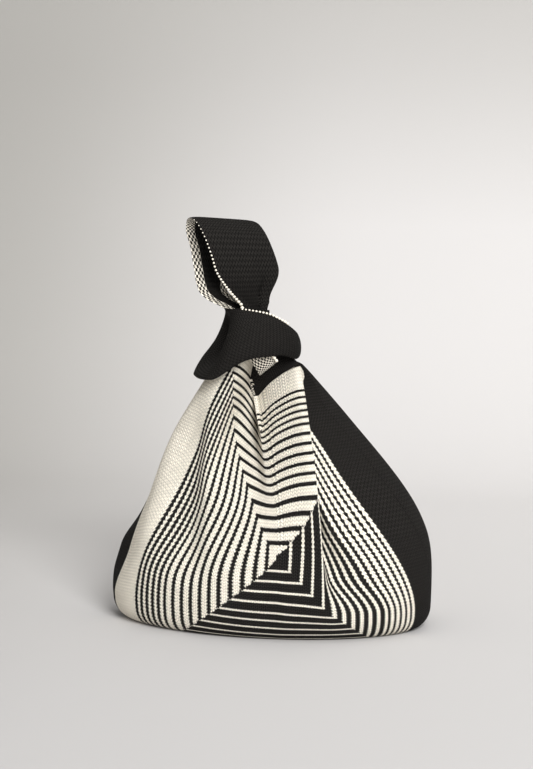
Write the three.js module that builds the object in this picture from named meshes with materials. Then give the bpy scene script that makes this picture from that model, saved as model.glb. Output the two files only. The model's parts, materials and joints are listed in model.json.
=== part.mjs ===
// Knitted knot bag, closed: a filled oval pouch whose two straps rise from its gathered neck.
// The short strap is a ring round the neck, and the long strap is drawn through it as a carrying loop.
// Millimetres, +Z up. The origin is on the floor under the middle of the pouch, and the front faces -Y.
import * as THREE from 'three';

// Pouch
const BASE_WIDTH = 272;
const BASE_DEPTH = 156;
const FOOT_HEIGHT = 18;
const FOOT_INSET = 15;
const SHOULDER_HEIGHT = 91;
const SHOULDER_SKEW = 17;
const SHOULDER_BULGE = 7;
const KNIT_THICKNESS = 2.8;
const FRONT_MIDDLE = 20;
const FRONT_LEFT = 165;
const FRONT_RIGHT = 152;
const GUSSET_WIDTH = 50;
const PLEAT_PLACE = 42;
const PLEAT_DEPTH = 12;

// Neck, where the pouch is gathered
const NECK_WIDTH = 84;
const NECK_DEPTH = 60;
const NECK_HEIGHT = 212;
const NECK_X = -11;
const NECK_TURN = THREE.MathUtils.degToRad(23);

// Short strap, tied round the neck as a ring
const RING_TOP = 264;
const RING_FOOT = 224;
const RING_THICKNESS = 3.2;
const RING_NOSE_DROP = 24;
const RING_FLAP_DROP = 16;
const RING_FLAP_REACH = 15;
const RING_BELLY = 3;
const RING_FLARE = 10;

// Long strap, drawn through the ring
const STEM_X = -16;
const STEM_Y = -3;
const STEM_FOOT = 238;
const STEM_WIDTH = 34;
const STEM_LAYER = 6;
const STRAP_THICKNESS = 3.2;
const STRAP_WIDTH = 62;
const STRAP_TURN = THREE.MathUtils.degToRad(24);
const LOOP_HEIGHT = 71;
const LOOP_THICKNESS = 30;
const LOOP_LEAN = 27;
const PINCH_RADIUS = 6.5;
const LOOP_PIVOT = 269;

// Seams and clearances
const SEAM_GAP = 0.3;
const SEAT_GAP = 0.4;
const YARN_RADIUS = 0.9;

// Mesh density
const COLUMN_PITCH = 6.5;
const FOOT_ROWS = 4;
const WALL_ROWS = 12;
const RING_COLUMNS = 44;
const LOOP_COLUMNS = 40;
const YARN_SIDES = 6;

const cream = new THREE.MeshStandardMaterial({ color: 0xe9e2d3, roughness: 0.95, metalness: 0 });
const black = new THREE.MeshStandardMaterial({ color: 0x191817, roughness: 0.9, metalness: 0 });
const bag = new THREE.Group();

function addPiece(name, geometry, material) {
  const mesh = new THREE.Mesh(geometry, material);
  mesh.name = name;
  bag.add(mesh);
}

// A closed solid between two matching grids of points: the face that shows and the face behind it.
// Columns run so that the shown face looks out, and wrap joins the last column to the first.
function sheetSolid(shown, behind, wrap = false) {
  const columns = shown.length;
  const rows = shown[0].length;
  const at = (side, i, j) => (side * columns + (i % columns)) * rows + j;
  const faces = [];
  const quad = (a, b, c, d) => faces.push(a, b, c, a, c, d);
  const spans = wrap ? columns : columns - 1;
  const last = rows - 1;
  for (let i = 0; i < spans; i++) {
    for (let j = 0; j < last; j++) {
      quad(at(0, i, j), at(0, i + 1, j), at(0, i + 1, j + 1), at(0, i, j + 1));
      quad(at(1, i, j), at(1, i, j + 1), at(1, i + 1, j + 1), at(1, i + 1, j));
    }
    quad(at(0, i, 0), at(1, i, 0), at(1, i + 1, 0), at(0, i + 1, 0));
    quad(at(0, i, last), at(0, i + 1, last), at(1, i + 1, last), at(1, i, last));
  }
  const end = columns - 1;
  for (let j = 0; j < last && !wrap; j++) {
    quad(at(0, 0, j), at(0, 0, j + 1), at(1, 0, j + 1), at(1, 0, j));
    quad(at(0, end, j), at(1, end, j), at(1, end, j + 1), at(0, end, j + 1));
  }
  const points = [...shown.flat(), ...behind.flat()];
  return new THREE.BufferGeometry().setFromPoints(points).setIndex(faces);
}

// A grid of points from a function of two parameters, each running over its own list of values.
function gridOf(surface, across, along) {
  return across.map((u) => along.map((v) => surface(u, v)));
}

function spread(from, to, count) {
  return Array.from({ length: count + 1 }, (_, i) => from + ((to - from) * i) / count);
}

// The surface moved along its own normal, which points out of the shown face.
function offsetSurface(surface, distance, stepU, stepV, highestV = 1) {
  return (u, v) => {
    const low = Math.max(v - stepV, 0);
    const high = Math.min(v + stepV, highestV);
    const across = surface(u + stepU, v).sub(surface(u - stepU, v));
    const along = surface(u, high).sub(surface(u, low));
    return surface(u, v).addScaledVector(across.cross(along).normalize(), distance);
  };
}

// Pouch: every wale of the knit leaves the base oval upright and bends in to its place on the neck.
const oval = new THREE.EllipseCurve(0, 0, BASE_WIDTH / 2, BASE_DEPTH / 2, -Math.PI / 2, 1.5 * Math.PI);
oval.arcLengthDivisions = 720;
const girth = oval.getLength();
const frontLeftArc = FRONT_MIDDLE - FRONT_LEFT;
const frontRightArc = FRONT_MIDDLE + FRONT_RIGHT;
const backRightArc = frontRightArc + GUSSET_WIDTH;
const backLeftArc = frontLeftArc + girth - GUSSET_WIDTH;
const backSpan = backLeftArc - backRightArc;
const pleatArc = FRONT_MIDDLE + PLEAT_PLACE;

// Neck outline in order round the bag. place is the arc on the base oval that the wale comes from,
// across and depth are shares of the half width and half depth, and rise is the rim's height above the neck.
const neckFolds = [
  { place: frontLeftArc, across: -0.9, depth: 0.15, rise: -2 },
  { place: FRONT_MIDDLE - 0.77 * FRONT_LEFT, across: -0.57, depth: -0.9, rise: 10 },
  { place: FRONT_MIDDLE, across: 0.1, depth: 0.27, rise: -18 },
  { place: pleatArc - 9, across: 0.57, depth: -1.0, rise: 6 },
  { place: pleatArc, across: 0.74, depth: -0.93, rise: 6 },
  { place: pleatArc + 24, across: 0.57, depth: -0.3, rise: -2 },
  { place: frontRightArc, across: 0.88, depth: -0.2, rise: -2 },
  { place: frontRightArc + GUSSET_WIDTH / 2, across: 0.96, depth: 0.23, rise: -2 },
  { place: backRightArc, across: 0.79, depth: 0.7, rise: 0 },
  { place: backRightArc + 0.22 * backSpan, across: 0.38, depth: 0.97, rise: 4 },
  { place: backRightArc + 0.5 * backSpan, across: 0.02, depth: 0.85, rise: -10 },
  { place: backRightArc + 0.78 * backSpan, across: -0.33, depth: 1.0, rise: 4 },
  { place: backLeftArc, across: -0.74, depth: 0.75, rise: -2 },
  { place: backLeftArc + GUSSET_WIDTH / 2, across: -0.86, depth: 0.5, rise: -5 },
];

// What is gathered or tied is turned about Z against the base.
const upAxis = new THREE.Vector3(0, 0, 1);
const turned = (point) => point.applyAxisAngle(upAxis, NECK_TURN);
const neckPoint = ({ across, depth, rise }) => turned(new THREE.Vector3(
  NECK_X + (across * NECK_WIDTH) / 2,
  (depth * NECK_DEPTH) / 2,
  NECK_HEIGHT + rise,
));
const neckOutline = new THREE.CatmullRomCurve3(neckFolds.map(neckPoint), true, 'centripetal');

function neckAt(arc) {
  const first = neckFolds[0].place;
  const place = first + (((arc - first) % girth) + girth) % girth;
  let fold = neckFolds.length - 1;
  while (neckFolds[fold].place > place) fold -= 1;
  const start = neckFolds[fold].place;
  const end = fold + 1 < neckFolds.length ? neckFolds[fold + 1].place : first + girth;
  return neckOutline.getPoint((fold + (place - start) / (end - start)) / neckFolds.length);
}

// A point of the base oval at an arc from the front middle, set in from the oval by a distance.
function ovalAt(arc, inset) {
  const share = (((arc / girth) % 1) + 1) % 1;
  const point = oval.getPointAt(share);
  const tangent = oval.getTangentAt(share);
  return new THREE.Vector3(point.x - tangent.y * inset, point.y + tangent.x * inset, 0);
}

// Outer face of the pouch. height runs from -1 on the floor, by 0 at the top of the rolled foot,
// to 1 at the rim.
function wallAt(arc, height) {
  if (height < 0) {
    const roll = (1 + height) * (Math.PI / 2);
    return ovalAt(arc, FOOT_INSET * (1 - Math.sin(roll))).setZ(FOOT_HEIGHT * (1 - Math.cos(roll)));
  }
  const foot = ovalAt(arc, 0).setZ(FOOT_HEIGHT);
  const lean = foot.x / (BASE_WIDTH / 2);
  const shoulder = ovalAt(arc, -SHOULDER_BULGE).setZ(SHOULDER_HEIGHT + SHOULDER_SKEW * lean);
  const point = new THREE.QuadraticBezierCurve3(foot, shoulder, neckAt(arc)).getPoint(height);
  return point.addScaledVector(pleatPull, -pleatShift(arc, height));
}

// Right of the pleat's edge the cloth is drawn in behind it, most of all a little below the neck.
const pleatShare = oval.getTangentAt(pleatArc / girth);
const pleatPull = new THREE.Vector3(pleatShare.x, pleatShare.y, 0);

function pleatShift(arc, height) {
  const { smoothstep } = THREE.MathUtils;
  const past = arc - pleatArc;
  const pleatEnd = FRONT_RIGHT - PLEAT_PLACE;
  const drawn = smoothstep(past, 0, PLEAT_PLACE / 2) * (1 - smoothstep(past, PLEAT_PLACE, pleatEnd));
  return PLEAT_DEPTH * drawn * smoothstep(height, 0, 0.6) * (1 - smoothstep(height, 0.7, 1));
}

function wallNormal(arc, height) {
  const arcStep = 1;
  const heightStep = 0.01;
  const across = wallAt(arc + arcStep, height).sub(wallAt(arc - arcStep, height));
  const along = wallAt(arc, Math.min(height + heightStep, 1))
    .sub(wallAt(arc, Math.max(height - heightStep, -1)));
  return across.cross(along).normalize();
}

const wallInside = (arc, height, depth = KNIT_THICKNESS) =>
  wallAt(arc, height).addScaledVector(wallNormal(arc, height), -depth);

const wallHeights = [...spread(-1, 0, FOOT_ROWS), ...spread(0, 1, WALL_ROWS).slice(1)];

function panel(name, fromArc, toArc, material) {
  const from = fromArc + SEAM_GAP / 2;
  const to = toArc - SEAM_GAP / 2;
  const arcs = spread(from, to, Math.ceil((to - from) / COLUMN_PITCH));
  addPiece(name, sheetSolid(gridOf(wallAt, arcs, wallHeights), gridOf(wallInside, arcs, wallHeights)), material);
}

panel('front_panel', frontLeftArc, frontRightArc, cream);
panel('right_gusset', frontRightArc, backRightArc, black);
panel('back_panel', backRightArc, backLeftArc, cream);
panel('left_gusset', backLeftArc, frontLeftArc + girth, black);

// Base: a flat oval plate of knit inside the edge of the rolled foot.
const baseInset = FOOT_INSET + SEAM_GAP;
const baseArcs = spread(0, girth, Math.round(girth / COLUMN_PITCH)).slice(0, -1);
const baseOutline = baseArcs.map((arc) => ovalAt(arc, baseInset));
const basePlate = new THREE.ExtrudeGeometry(new THREE.Shape(baseOutline.map(({ x, y }) => new THREE.Vector2(x, y))), {
  depth: KNIT_THICKNESS,
  bevelEnabled: false,
});
addPiece('base_panel', basePlate, black);

// Linking yarn: a chain of stitches that joins two panels along the inside of their seam, up to the folded rim.
const SEAM_TOP = 0.96;
const yarnDepth = KNIT_THICKNESS + SEAM_GAP + YARN_RADIUS;

function yarnAlong(points) {
  const section = new THREE.Shape();
  section.absarc(0, 0, YARN_RADIUS, 0, 2 * Math.PI);
  return new THREE.ExtrudeGeometry(section, {
    steps: points.length - 1,
    curveSegments: YARN_SIDES,
    extrudePath: new THREE.CatmullRomCurve3(points),
    bevelEnabled: false,
  });
}

const seamHeights = spread(0, SEAM_TOP, WALL_ROWS);
const sideSeams = {
  front_left_linking_yarn: frontLeftArc,
  front_right_linking_yarn: frontRightArc,
  back_right_linking_yarn: backRightArc,
  back_left_linking_yarn: backLeftArc,
};
for (const [name, arc] of Object.entries(sideSeams)) {
  addPiece(name, yarnAlong(seamHeights.map((height) => wallInside(arc, height, yarnDepth))), black);
}

// The base's linking yarn is a closed ring that lies over the joint of the base and the rolled foot.
function yarnRing(inset, level) {
  const side = (angle) => (arc) => ovalAt(arc, inset - YARN_RADIUS * Math.cos(angle))
    .setZ(level + YARN_RADIUS * Math.sin(angle));
  const angles = spread(0, 2 * Math.PI, YARN_SIDES).slice(0, -1);
  const rings = baseArcs.map((arc) => angles.map((angle) => side(angle)(arc)));
  const at = (i, j) => (i % rings.length) * YARN_SIDES + (j % YARN_SIDES);
  const faces = [];
  rings.forEach((_, i) => angles.forEach((__, j) => {
    faces.push(at(i, j), at(i + 1, j), at(i + 1, j + 1), at(i, j), at(i + 1, j + 1), at(i, j + 1));
  }));
  return new THREE.BufferGeometry().setFromPoints(rings.flat()).setIndex(faces);
}
addPiece('base_linking_yarn', yarnRing(baseInset, yarnDepth), black);

// Short strap: a band that runs right round the neck. It is high where the long strap leaves it,
// dips to a nose on the right, and flares to a hanging flap on the left.
const ringTop = { x: -9, y: -3, right: 32, left: 36, front: 30, back: 30 };
const ringFoot = { x: -12, y: -4, right: 37, left: 38 + RING_FLAP_REACH, front: 42, back: 40 };
const RING_SQUARENESS = 3;
const FLAP_ANGLE = THREE.MathUtils.degToRad(196);
const FLAP_SPREAD = 0.6;
const NOSE_START = -8;

function ringOutline(size, angle) {
  const round = (value) => Math.sign(value) * Math.abs(value) ** (2 / RING_SQUARENESS);
  const cos = round(Math.cos(angle));
  const sin = round(Math.sin(angle));
  return new THREE.Vector3(size.x + cos * (cos > 0 ? size.right : size.left),
    size.y + sin * (sin > 0 ? size.back : size.front), 0);
}

function ringAt(angle, rise) {
  const foot = ringOutline(ringFoot, angle);
  const top = ringOutline(ringTop, angle);
  const turn = Math.atan2(Math.sin(angle - FLAP_ANGLE), Math.cos(angle - FLAP_ANGLE));
  const flap = Math.exp(-((turn / FLAP_SPREAD) ** 2));
  foot.z = RING_FOOT - RING_FLAP_DROP * flap;
  const reach = ringTop.x + ringTop.right;
  top.z = RING_TOP - RING_NOSE_DROP * THREE.MathUtils.smoothstep(top.x, NOSE_START, reach);
  const belly = 4 * (RING_BELLY - RING_FLARE * flap) * rise * (1 - rise);
  const out = new THREE.Vector3(Math.cos(angle), Math.sin(angle), 0);
  return turned(foot.lerp(top, rise).addScaledVector(out, belly));
}

const ringAngles = spread(0, 2 * Math.PI, RING_COLUMNS).slice(0, -1);
const ringRises = spread(0, 1, 6);
const ringInside = offsetSurface(ringAt, -RING_THICKNESS, 0.02, 0.02);
addPiece('short_handle_ring', sheetSolid(gridOf(ringAt, ringAngles, ringRises),
  gridOf(ringInside, ringAngles, ringRises), true), black);

// A strip of knit between a line on the rim and a line higher up, upright where it leaves the rim.
const ROOT_RISE = 4;
const SLOPE_LIFT = 0.6;
const rootShares = spread(0, 1, 9);

function rootStrip(name, lowEdge, highEdge, material) {
  const middle = (u, v) => {
    const low = lowEdge(u);
    const bend = low.clone().setZ(low.z + ROOT_RISE);
    return new THREE.QuadraticBezierCurve3(low, bend, highEdge(u)).getPoint(v);
  };
  const faceOut = offsetSurface(middle, STRAP_THICKNESS / 2, 0.05, 0.05);
  const faceIn = offsetSurface(middle, -STRAP_THICKNESS / 2, 0.05, 0.05);
  addPiece(name, sheetSolid(gridOf(faceOut, rootShares, rootShares), gridOf(faceIn, rootShares, rootShares)), material);
}

// The middle of the rim between two arcs, raised by the seat gap and by a lift where the rim slopes.
const rimBetween = (fromArc, toArc, lift = 0) => (share) =>
  wallInside(THREE.MathUtils.lerp(fromArc, toArc, share), 1, KNIT_THICKNESS / 2)
    .add(new THREE.Vector3(0, 0, SEAT_GAP + STRAP_THICKNESS / 4 + lift));

// Long strap: its two legs rise from the right of the neck and lie against each other in the ring.
const strapAxis = new THREE.Vector3(Math.cos(STRAP_TURN), Math.sin(STRAP_TURN), 0);
const strapFacing = new THREE.Vector3(-strapAxis.y, strapAxis.x, 0);
const strapPoint = (across, through, level) => turned(new THREE.Vector3(STEM_X, STEM_Y, level)
  .addScaledVector(strapAxis, across)
  .addScaledVector(strapFacing, through));

const layerMiddle = (STEM_LAYER + SEAM_GAP) / 2;
const stemTop = LOOP_PIVOT - PINCH_RADIUS - SEAM_GAP;

function stem(name, side) {
  const outline = new THREE.Shape();
  const half = STEM_WIDTH / 2;
  const corner = STEM_LAYER / 2 - SEAM_GAP;
  outline.moveTo(-half + corner, -STEM_LAYER / 2);
  outline.lineTo(half - corner, -STEM_LAYER / 2);
  outline.absarc(half - corner, 0, STEM_LAYER / 2, -Math.PI / 2, Math.PI / 2);
  outline.lineTo(-half + corner, STEM_LAYER / 2);
  outline.absarc(-half + corner, 0, STEM_LAYER / 2, Math.PI / 2, 1.5 * Math.PI);
  const solid = new THREE.ExtrudeGeometry(outline, {
    depth: stemTop - STEM_FOOT, curveSegments: 6, bevelEnabled: false,
  });
  const centre = strapPoint(0, side * layerMiddle, STEM_FOOT);
  addPiece(name, solid.rotateZ(STRAP_TURN + NECK_TURN).translate(centre.x, centre.y, centre.z), black);
}
stem('long_handle_front_stem', -1);
stem('long_handle_back_stem', 1);

const stemEdge = (side) => (share) => strapPoint((share - 0.5) * STEM_WIDTH * -side, side * layerMiddle,
  STEM_FOOT - SEAM_GAP - STRAP_THICKNESS / 2);
rootStrip('long_handle_front_root', rimBetween(FRONT_MIDDLE - 6, pleatArc - 2, SLOPE_LIFT), stemEdge(-1), black);
rootStrip('long_handle_back_root', rimBetween(backRightArc + 4, backRightArc + 0.3 * backSpan), stemEdge(1), black);

// The short strap's two ends rise from the left of the neck to the inside of the ring.
const ringSeat = offsetSurface(ringAt, -(RING_THICKNESS + SEAT_GAP + STRAP_THICKNESS / 2), 0.02, 0.02);
const ringLine = (fromDegrees, toDegrees, rise) => (share) =>
  ringSeat(THREE.MathUtils.degToRad(THREE.MathUtils.lerp(fromDegrees, toDegrees, share)), rise);
rootStrip('short_handle_front_root', rimBetween(frontLeftArc + 5, FRONT_MIDDLE - 0.79 * FRONT_LEFT),
  ringLine(196, 232, 0.7), black);
rootStrip('short_handle_back_root', rimBetween(backLeftArc + 2, backLeftArc + 0.6 * GUSSET_WIDTH),
  ringLine(132, 168, 0.7), black);

// Carrying loop: the strap doubled over, pinched where it leaves the ring and open above for a hand.
// Each outline is a half thickness at a share of the loop's height, up one side and down the other.
const WAIST = 0.3;
const loopFoot = -PINCH_RADIUS;

function closedOutline(sides, foot, crown) {
  const up = sides.map(([thick, level]) => new THREE.Vector3(thick, level, 0));
  const down = sides.map(([thick, level]) => new THREE.Vector3(-thick, level, 0)).reverse();
  const ends = [new THREE.Vector3(0, foot, 0), new THREE.Vector3(0, crown, 0)];
  return new THREE.CatmullRomCurve3([ends[0], ...up, ends[1], ...down], true, 'centripetal');
}

const half = LOOP_THICKNESS / 2;
const outerSides = [[PINCH_RADIUS * 0.92, -PINCH_RADIUS * 0.4], [PINCH_RADIUS * 1.1, LOOP_HEIGHT * 0.09],
  [half * 0.84, LOOP_HEIGHT * 0.32], [half, LOOP_HEIGHT * 0.58], [half * 0.77, LOOP_HEIGHT * 0.84],
  [half * 0.37, LOOP_HEIGHT * 0.965]];
const holeHalf = half - STRAP_THICKNESS;
const holeTop = LOOP_HEIGHT - STRAP_THICKNESS;
const holeFoot = PINCH_RADIUS + SEAT_GAP;
const holeSides = [[holeHalf * 0.33, holeFoot + 2], [holeHalf * 0.53, holeFoot + 6],
  [half * 0.84 - STRAP_THICKNESS, LOOP_HEIGHT * 0.32], [holeHalf, LOOP_HEIGHT * 0.58],
  [half * 0.77 - STRAP_THICKNESS, LOOP_HEIGHT * 0.83], [half * 0.3 - STRAP_THICKNESS * 0.3, LOOP_HEIGHT * 0.92]];
const loopOuter = closedOutline(outerSides, loopFoot, LOOP_HEIGHT);
const loopHole = closedOutline(holeSides, holeFoot, holeTop);

// The strap is gathered to the stem's width at the pinch and opens to its full width by the waist.
function loopAt(curve) {
  return (share, across) => {
    const { x: through, y: level } = curve.getPoint(share);
    const open = THREE.MathUtils.smoothstep(level, loopFoot, LOOP_HEIGHT * WAIST);
    const width = THREE.MathUtils.lerp(STEM_WIDTH, STRAP_WIDTH, open);
    const lean = LOOP_LEAN * Math.max(level / LOOP_HEIGHT, 0) ** 0.9;
    return strapPoint(across * width - lean, through, LOOP_PIVOT + level);
  };
}
const loopShares = spread(0, 1, LOOP_COLUMNS).slice(0, -1);
const loopAcross = spread(-0.5, 0.5, 4);
addPiece('long_handle_loop', sheetSolid(gridOf(loopAt(loopOuter), loopShares, loopAcross),
  gridOf(loopAt(loopHole), loopShares, loopAcross), true), black);

export default bag;
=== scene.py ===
# %% [markdown]
# # A knitted knot bag
# The CAD model holds the bag's sizes, bodies and joints, but its walls are plain sheets. Here each piece
# is made again as the knit it really is: gathered at the neck, patterned stitch by stitch and soft at its edges.
# Everything is in metres in the CAD model's own frame, so a piece never has to be fitted by eye.

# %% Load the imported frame
import json
import math

import bpy
import numpy as np
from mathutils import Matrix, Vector

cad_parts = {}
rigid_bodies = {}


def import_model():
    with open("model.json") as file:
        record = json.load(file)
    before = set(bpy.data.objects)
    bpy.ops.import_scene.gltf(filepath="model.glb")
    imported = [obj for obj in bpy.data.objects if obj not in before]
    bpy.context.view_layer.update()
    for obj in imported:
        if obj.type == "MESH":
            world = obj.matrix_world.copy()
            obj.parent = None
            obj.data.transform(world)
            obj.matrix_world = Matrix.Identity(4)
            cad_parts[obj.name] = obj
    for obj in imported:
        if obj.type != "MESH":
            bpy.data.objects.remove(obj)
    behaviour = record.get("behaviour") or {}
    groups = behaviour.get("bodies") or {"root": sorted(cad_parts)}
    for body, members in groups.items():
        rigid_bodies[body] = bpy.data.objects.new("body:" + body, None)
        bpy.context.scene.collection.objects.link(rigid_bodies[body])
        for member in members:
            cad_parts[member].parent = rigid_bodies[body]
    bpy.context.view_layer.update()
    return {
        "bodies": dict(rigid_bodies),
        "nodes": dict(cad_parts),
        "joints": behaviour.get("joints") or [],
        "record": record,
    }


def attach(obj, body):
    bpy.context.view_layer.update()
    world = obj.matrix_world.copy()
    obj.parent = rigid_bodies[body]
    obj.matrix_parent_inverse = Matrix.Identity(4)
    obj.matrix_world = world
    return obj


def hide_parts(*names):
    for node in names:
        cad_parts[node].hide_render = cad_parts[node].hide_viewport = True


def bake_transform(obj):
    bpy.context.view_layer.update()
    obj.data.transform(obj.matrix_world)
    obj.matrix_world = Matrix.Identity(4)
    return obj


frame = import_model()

# %% [markdown]
# ## Camera
# The photograph was taken a little from the right and from above, with a long lens. Distance and lens were
# worked out from how the oval base and the loop are foreshortened. The camera turns to the middle of the picture,
# so no lens shift is needed.

# %% Camera
MM = 0.001
AZIMUTH = math.radians(13)
ELEVATION = math.radians(14)
CAMERA_DISTANCE = 1978 * MM
AIM_RIGHT = -3.4 * MM
AIM_UP = 198.9 * MM
FOCAL_PIXELS = 2330
PHOTO_HEIGHT = 769
SENSOR = 36

right = Vector((math.cos(AZIMUTH), math.sin(AZIMUTH), 0))
level_share = math.cos(ELEVATION)
back = Vector((math.sin(AZIMUTH) * level_share, -math.cos(AZIMUTH) * level_share, math.sin(ELEVATION)))
up = back.cross(right)
camera = bpy.data.objects.new("camera", bpy.data.cameras.new("camera"))
camera.data.sensor_width = SENSOR
camera.data.lens = SENSOR * FOCAL_PIXELS / PHOTO_HEIGHT
camera.location = CAMERA_DISTANCE * back
aim = AIM_RIGHT * right + AIM_UP * up
camera.rotation_euler = (camera.location - aim).to_track_quat("Z", "Y").to_euler()
bpy.context.scene.collection.objects.link(camera)
bpy.context.scene.camera = camera
print("lens in mm:", round(camera.data.lens, 1))

# %% [markdown]
# ## Small helpers
# Colours are written as the hex values a screen shows, and Blender's shaders want linear light, so one function
# turns them. A second one adds a shader node, sets it and links it, and returns its first output. Two more start a
# material and make an object, so that the steps below needn't repeat that.

# %% Colour, node, material and object
USUAL_GLOSS = 0.5


def linear(colour):
    """Linear RGBA of an sRGB hex colour, by the standard two-part curve."""
    parts = np.array([int(colour[i:i + 2], 16) for i in (1, 3, 5)]) / 255
    curve = np.where(parts <= 0.04045, parts / 12.92, ((parts + 0.055) / 1.055) ** 2.4)
    return (*curve.tolist(), 1.0)


def add(tree, kind, settings=None, inputs=None):
    """Adds a node of a kind, sets its settings, fills its inputs with values or links, returns its first output."""
    made = tree.nodes.new("ShaderNode" + kind)
    for key, value in (settings or {}).items():
        setattr(made, key, value)
    for key, value in (inputs or {}).items():
        value = getattr(value, "socket", value)
        if isinstance(value, bpy.types.NodeSocket):
            tree.links.new(value, made.inputs[key])
        else:
            made.inputs[key].default_value = value
    return made.outputs[0]


def new_material(name, roughness, gloss=USUAL_GLOSS):
    """A new material with one roughness and one gloss all over, its node tree and its shader."""
    material = bpy.data.materials.new(name)
    material.use_nodes = True
    shader = material.node_tree.nodes["Principled BSDF"]
    shader.inputs["Roughness"].default_value = roughness
    shader.inputs["Specular IOR Level"].default_value = gloss
    return material, material.node_tree, shader


def new_object(name, points, faces, material):
    """A smooth mesh object from points (count, 3) in metres and a list of faces."""
    mesh = bpy.data.meshes.new(name)
    mesh.from_pydata(points.tolist(), [], faces)
    mesh.materials.append(material)
    mesh.shade_smooth()
    made = bpy.data.objects.new(name, mesh)
    bpy.context.scene.collection.objects.link(made)
    return made


print("white in linear light:", linear("#ffffff"))

# %% [markdown]
# ## Floor, backdrop and light
# The bag stands on a pale warm-grey sweep, a floor that curves up into a wall as in a photo studio. One large
# lamp from the right gives the soft shadow on the left, and the world fills the rest. Shade is also painted into the
# paper's colour: a painted shadow makes it darker on the left than on the right, and painted shade makes it darker
# high up on the right and near the camera. It shows on its front only, so the bag can also be seen from behind the
# wall.

# %% Paper
PAPER_PAINTED_SHADOW = "#b7b5b1"
PAPER_LIT = "#dcdad9"
PAPER_ROUGHNESS = 0.95

# Places in metres between which the paper's painted shade changes, and the tones at both.
SHADOW_PAINTED_LEFT = {"From Min": -0.62, "From Max": -0.08}
SHADE_PAINTED_HIGH = {"From Min": 0.26, "From Max": 0.54, "To Min": 1.0, "To Max": 0.3}
SHADE_PAINTED_NEAR = {"From Min": -0.8, "From Max": 0.9, "To Min": 0.6, "To Max": 1.0}

paper, tree, shader = new_material("matt_backdrop_paper", PAPER_ROUGHNESS)
x, y, z = add(tree, "SeparateXYZ", None, {0: add(tree, "TexCoord").node.outputs["Object"]}).node.outputs
smooth = {"interpolation_type": "SMOOTHSTEP"}
# Painted shade in the paper's colour: a painted shadow on the left, darker high up on the right and near the camera.
lit_right = add(tree, "MapRange", smooth, {"Value": x, **SHADOW_PAINTED_LEFT})
lit_low = add(tree, "MapRange", None, {"Value": z, **SHADE_PAINTED_HIGH})
pale = add(tree, "Math", {"operation": "MULTIPLY"}, {0: lit_right, 1: lit_low})
mixed = add(tree, "Mix", {"data_type": "RGBA"}, {0: pale, 6: linear(PAPER_PAINTED_SHADOW), 7: linear(PAPER_LIT)})
near_shade = add(tree, "MapRange", smooth, {"Value": y, **SHADE_PAINTED_NEAR})
colour = add(tree, "VectorMath", {"operation": "SCALE"}, {0: mixed.node.outputs[2], "Scale": near_shade})
tree.links.new(colour, shader.inputs["Base Color"])
from_behind = add(tree, "NewGeometry").node.outputs["Backfacing"]
nothing = add(tree, "BsdfTransparent")
one_sided = add(tree, "MixShader", None, {0: from_behind, 1: shader.outputs[0], 2: nothing})
tree.links.new(one_sided, tree.nodes["Material Output"].inputs["Surface"])
print("paper tones:", PAPER_PAINTED_SHADOW, PAPER_LIT)

# %% [markdown]
# The sweep is one grid: its profile is a line, a quarter circle and a line.

# %% Sweep
SWEEP_HALF_WIDTH = 3.0
SWEEP_FRONT = -3.2
SWEEP_BEND = 0.55
SWEEP_BEND_RADIUS = 0.45
SWEEP_TOP = 3.0
SWEEP_BEND_POINTS = 24

bend = np.linspace(0, np.pi / 2, SWEEP_BEND_POINTS)
profile_y = SWEEP_BEND + SWEEP_BEND_RADIUS * np.sin(bend)
profile_y = np.concatenate([[SWEEP_FRONT], profile_y, profile_y[-1:]])
profile_z = np.concatenate([[0], SWEEP_BEND_RADIUS * (1 - np.cos(bend)), [SWEEP_TOP]])
sweep_sides = np.array([[-SWEEP_HALF_WIDTH], [SWEEP_HALF_WIDTH]])
sweep_points = np.stack(np.broadcast_arrays(sweep_sides, profile_y, profile_z), -1)
count = len(profile_y)
lower = np.arange(count - 1)
sweep_faces = np.stack([lower, lower + count, lower + count + 1, lower + 1], -1)
sweep = new_object("studio_sweep", sweep_points.reshape(-1, 3), sweep_faces.tolist(), paper)
print("sweep faces:", len(sweep_faces))

# %% Lamps and world
WORLD_COLOUR = "#fbf9f6"
WORLD_STRENGTH = 0.42

# Each lamp has its place, the place it looks at, its size in metres and its power in watts.
lamps = {
    "key_lamp": ((1.1, -1.8, 1.35), (0.0, 0.0, 0.12), 1.0, 69),
    "fill_lamp": ((-1.2, -2.4, 1.0), (0.0, 0.0, 0.15), 2.2, 2),
    "top_lamp": ((0.3, 0.2, 2.4), (0.0, 0.0, 0.1), 2.0, 14),
}
for lamp_name, (place, target, size, power) in lamps.items():
    lamp = bpy.data.objects.new(lamp_name, bpy.data.lights.new(lamp_name, "AREA"))
    lamp.data.size = size
    lamp.data.energy = power
    lamp.location = place
    lamp.rotation_euler = (Vector(place) - Vector(target)).to_track_quat("Z", "Y").to_euler()
    bpy.context.scene.collection.objects.link(lamp)

world = bpy.data.worlds.new("studio_air")
bpy.context.scene.world = world
world.use_nodes = True
background = world.node_tree.nodes["Background"]
background.inputs["Color"].default_value = linear(WORLD_COLOUR)
background.inputs["Strength"].default_value = WORLD_STRENGTH
bpy.context.scene.view_settings.view_transform = "Standard"
print("lamps:", list(lamps))

# %% [markdown]
# ## Knit as a material
# The bag is flat-knitted from a matt cotton-like yarn. A knit stitch is a small V, two slanted legs, and the
# stitches stand in columns, called wales, and rows, called courses. An image could show that, but a formula stays
# sharp and is the same size everywhere. So every piece carries its wale and course numbers as its UV map, and
# nodes draw one stitch from the fractions of those numbers. To write them as formulas, a small class wraps a node's
# output: every operator on it adds one Math node.

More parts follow.
